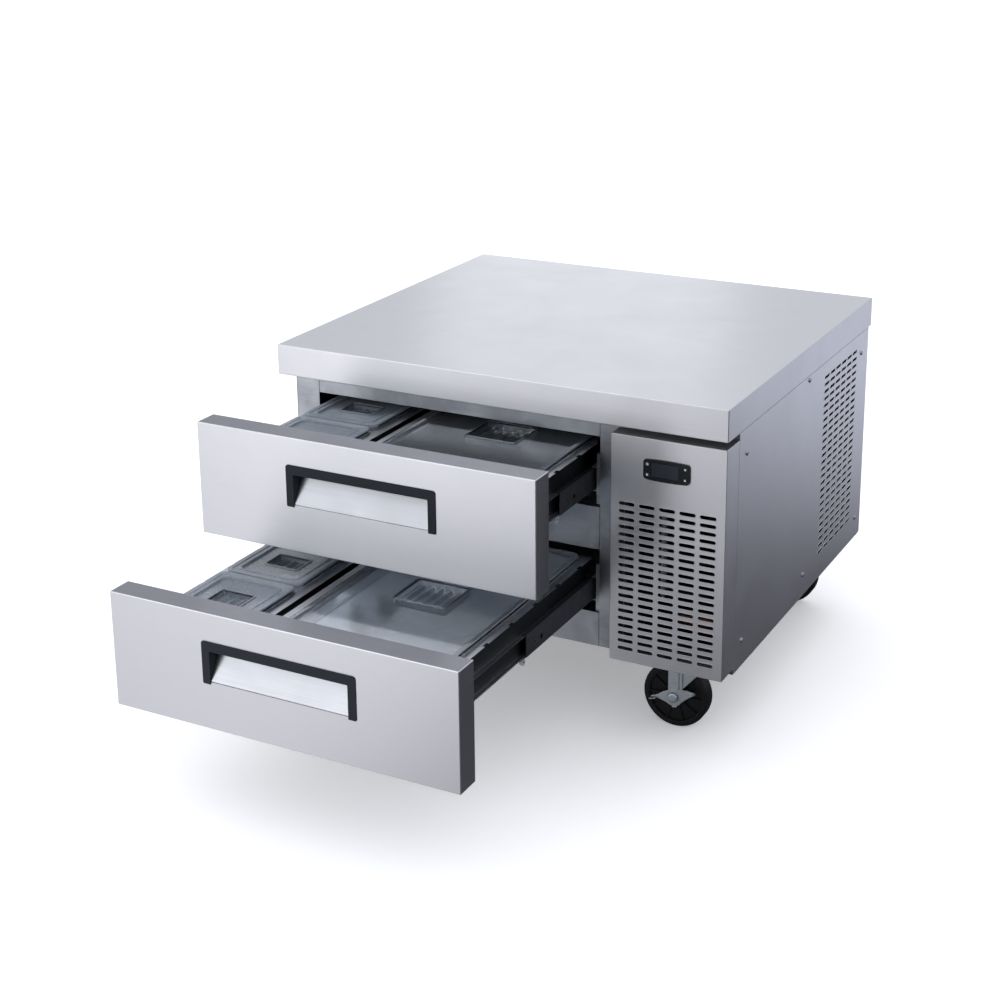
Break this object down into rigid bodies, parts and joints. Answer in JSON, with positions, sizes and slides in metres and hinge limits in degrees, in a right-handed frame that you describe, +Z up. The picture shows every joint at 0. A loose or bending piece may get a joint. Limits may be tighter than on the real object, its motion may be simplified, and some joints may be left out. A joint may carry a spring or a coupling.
{
  "type": "refrigerated chef base",
  "caption": "Low stainless refrigerated stand with stacked drawers of food pans, a machine compartment behind a slotted cover, and swivel casters.",
  "frame": {"origin": "on the floor, under the middle of the object's box with the upper drawer half out and the lower drawer fully out", "axes": "+Z up; -Y is the front, where the drawers come out; +X is the side with the machine compartment"},
  "size_m": [0.914, 1.3754, 0.67],
  "materials": {
    "brushed_stainless": "brushed",
    "dark_stainless": "brushed",
    "galvanised_steel": "matte",
    "insulation": "matte",
    "black_abs": "satin",
    "black_key": "matte",
    "liner_plastic": "matte",
    "slide_steel": "satin",
    "clear_polycarbonate": "clear",
    "black_enamel": "satin",
    "fin_aluminium": "matte",
    "zinc_plate": "satin",
    "hard_rubber": "matte"
  },
  "bodies": {
    "cabinet": {"worktop": "brushed_stainless", "left_side_panel": "brushed_stainless", "right_side_panel": "brushed_stainless", "back_panel": "galvanised_steel", "base_pan": "galvanised_steel", "front_frame": "brushed_stainless", "insulated_body": "insulation", "inner_liner": "dark_stainless", "front_cover": "brushed_stainless", "controller_bezel": "black_abs", "compressor": "black_enamel", "condenser_coil": "black_enamel", "evaporator_coil": "fin_aluminium", "cord_gland": "black_abs", "front_left_caster_plate": "zinc_plate", "front_right_caster_plate": "zinc_plate", "rear_left_caster_plate": "zinc_plate", "rear_right_caster_plate": "zinc_plate", "upper_left_cabinet_slide": "slide_steel", "upper_right_cabinet_slide": "slide_steel", "lower_left_cabinet_slide": "slide_steel", "lower_right_cabinet_slide": "slide_steel"},
    "upper_drawer": {"upper_drawer_front": "brushed_stainless", "upper_drawer_pull": "black_abs", "upper_drawer_panel": "liner_plastic", "upper_drawer_frame": "dark_stainless", "upper_full_pan": "clear_polycarbonate", "upper_full_lid": "clear_polycarbonate", "upper_front_pan": "clear_polycarbonate", "upper_middle_pan": "clear_polycarbonate", "upper_rear_pan": "clear_polycarbonate"},
    "upper_left_middle_slide": {"upper_left_middle_slide": "slide_steel"},
    "upper_right_middle_slide": {"upper_right_middle_slide": "slide_steel"},
    "lower_drawer": {"lower_drawer_front": "brushed_stainless", "lower_drawer_pull": "black_abs", "lower_drawer_panel": "liner_plastic", "lower_drawer_frame": "dark_stainless", "lower_full_pan": "clear_polycarbonate", "lower_full_lid": "clear_polycarbonate", "lower_front_pan": "clear_polycarbonate", "lower_middle_pan": "clear_polycarbonate", "lower_rear_pan": "clear_polycarbonate"},
    "lower_left_middle_slide": {"lower_left_middle_slide": "slide_steel"},
    "lower_right_middle_slide": {"lower_right_middle_slide": "slide_steel"},
    "condenser_fan": {"condenser_fan": "black_abs"},
    "evaporator_fan": {"evaporator_fan": "black_abs"},
    "front_left_caster_fork": {"front_left_caster_fork": "zinc_plate"},
    "front_left_caster_wheel": {"front_left_caster_wheel": "hard_rubber"},
    "front_left_brake_pedal": {"front_left_brake_pedal": "zinc_plate"},
    "front_right_caster_fork": {"front_right_caster_fork": "zinc_plate"},
    "front_right_caster_wheel": {"front_right_caster_wheel": "hard_rubber"},
    "front_right_brake_pedal": {"front_right_brake_pedal": "zinc_plate"},
    "rear_left_caster_fork": {"rear_left_caster_fork": "zinc_plate"},
    "rear_left_caster_wheel": {"rear_left_caster_wheel": "hard_rubber"},
    "rear_right_caster_fork": {"rear_right_caster_fork": "zinc_plate"},
    "rear_right_caster_wheel": {"rear_right_caster_wheel": "hard_rubber"},
    "left_upper_button": {"left_upper_button": "black_key"},
    "left_lower_button": {"left_lower_button": "black_key"},
    "right_upper_button": {"right_upper_button": "black_key"},
    "right_lower_button": {"right_lower_button": "black_key"}
  },
  "joints": [
    {"name": "upper_drawer_travel", "type": "slide", "parent": "cabinet", "child": "upper_drawer", "axis": [0, -1, 0], "range_m": [-0.2833, 0.2627]},
    {"name": "upper_left_slide_travel", "type": "slide", "parent": "cabinet", "child": "upper_left_middle_slide", "axis": [0, -1, 0], "range_m": [-0.14165, 0.13135]},
    {"name": "upper_right_slide_travel", "type": "slide", "parent": "cabinet", "child": "upper_right_middle_slide", "axis": [0, -1, 0], "range_m": [-0.14165, 0.13135]},
    {"name": "lower_drawer_travel", "type": "slide", "parent": "cabinet", "child": "lower_drawer", "axis": [0, -1, 0], "range_m": [-0.546, 0]},
    {"name": "lower_left_slide_travel", "type": "slide", "parent": "cabinet", "child": "lower_left_middle_slide", "axis": [0, -1, 0], "range_m": [-0.273, 0]},
    {"name": "lower_right_slide_travel", "type": "slide", "parent": "cabinet", "child": "lower_right_middle_slide", "axis": [0, -1, 0], "range_m": [-0.273, 0]},
    {"name": "condenser_fan_spin", "type": "hinge", "parent": "cabinet", "child": "condenser_fan", "pos_m": [0.3461, 0.04775, 0.2833], "axis": [0, 1, 0], "continuous": true},
    {"name": "evaporator_fan_spin", "type": "hinge", "parent": "cabinet", "child": "evaporator_fan", "pos_m": [-0.1058, 0.55055, 0.4151], "axis": [0, 1, 0], "continuous": true},
    {"name": "front_left_caster_swivel", "type": "hinge", "parent": "cabinet", "child": "front_left_caster_fork", "pos_m": [-0.3645, -0.01795, 0.1422], "axis": [0, 0, 1], "continuous": true},
    {"name": "front_left_wheel_roll", "type": "hinge", "parent": "front_left_caster_fork", "child": "front_left_caster_wheel", "pos_m": [-0.3265, -0.01795, 0.0635], "axis": [0, 1, 0], "continuous": true},
    {"name": "front_left_brake_tilt", "type": "hinge", "parent": "front_left_caster_fork", "child": "front_left_brake_pedal", "pos_m": [-0.3265, -0.01795, 0.0635], "axis": [0, 1, 0], "range_deg": [0, 26]},
    {"name": "front_right_caster_swivel", "type": "hinge", "parent": "cabinet", "child": "front_right_caster_fork", "pos_m": [0.3645, -0.01795, 0.1422], "axis": [0, 0, 1], "continuous": true},
    {"name": "front_right_wheel_roll", "type": "hinge", "parent": "front_right_caster_fork", "child": "front_right_caster_wheel", "pos_m": [0.3265, -0.01795, 0.0635], "axis": [0, 1, 0], "continuous": true},
    {"name": "front_right_brake_tilt", "type": "hinge", "parent": "front_right_caster_fork", "child": "front_right_brake_pedal", "pos_m": [0.3265, -0.01795, 0.0635], "axis": [0, 1, 0], "range_deg": [0, 26]},
    {"name": "rear_left_caster_swivel", "type": "hinge", "parent": "cabinet", "child": "rear_left_caster_fork", "pos_m": [-0.3645, 0.60825, 0.1422], "axis": [0, 0, 1], "continuous": true},
    {"name": "rear_left_wheel_roll", "type": "hinge", "parent": "rear_left_caster_fork", "child": "rear_left_caster_wheel", "pos_m": [-0.3265, 0.60825, 0.0635], "axis": [0, 1, 0], "continuous": true},
    {"name": "rear_right_caster_swivel", "type": "hinge", "parent": "cabinet", "child": "rear_right_caster_fork", "pos_m": [0.3645, 0.60825, 0.1422], "axis": [0, 0, 1], "continuous": true},
    {"name": "rear_right_wheel_roll", "type": "hinge", "parent": "rear_right_caster_fork", "child": "rear_right_caster_wheel", "pos_m": [0.3265, 0.60825, 0.0635], "axis": [0, 1, 0], "continuous": true},
    {"name": "left_upper_button_press", "type": "slide", "parent": "cabinet", "child": "left_upper_button", "axis": [0, 1, 0], "range_m": [0, 0.0005], "stiffness_N_per_m": 400, "springref_m": -0.0005},
    {"name": "left_lower_button_press", "type": "slide", "parent": "cabinet", "child": "left_lower_button", "axis": [0, 1, 0], "range_m": [0, 0.0005], "stiffness_N_per_m": 400, "springref_m": -0.0005},
    {"name": "right_upper_button_press", "type": "slide", "parent": "cabinet", "child": "right_upper_button", "axis": [0, 1, 0], "range_m": [0, 0.0005], "stiffness_N_per_m": 400, "springref_m": -0.0005},
    {"name": "right_lower_button_press", "type": "slide", "parent": "cabinet", "child": "right_lower_button", "axis": [0, 1, 0], "range_m": [0, 0.0005], "stiffness_N_per_m": 400, "springref_m": -0.0005}
  ],
  "couplings": [
    {"joint": "upper_left_slide_travel", "follows": "upper_drawer_travel", "ratio": 0.5},
    {"joint": "upper_right_slide_travel", "follows": "upper_drawer_travel", "ratio": 0.5},
    {"joint": "lower_left_slide_travel", "follows": "lower_drawer_travel", "ratio": 0.5},
    {"joint": "lower_right_slide_travel", "follows": "lower_drawer_travel", "ratio": 0.5}
  ]
}
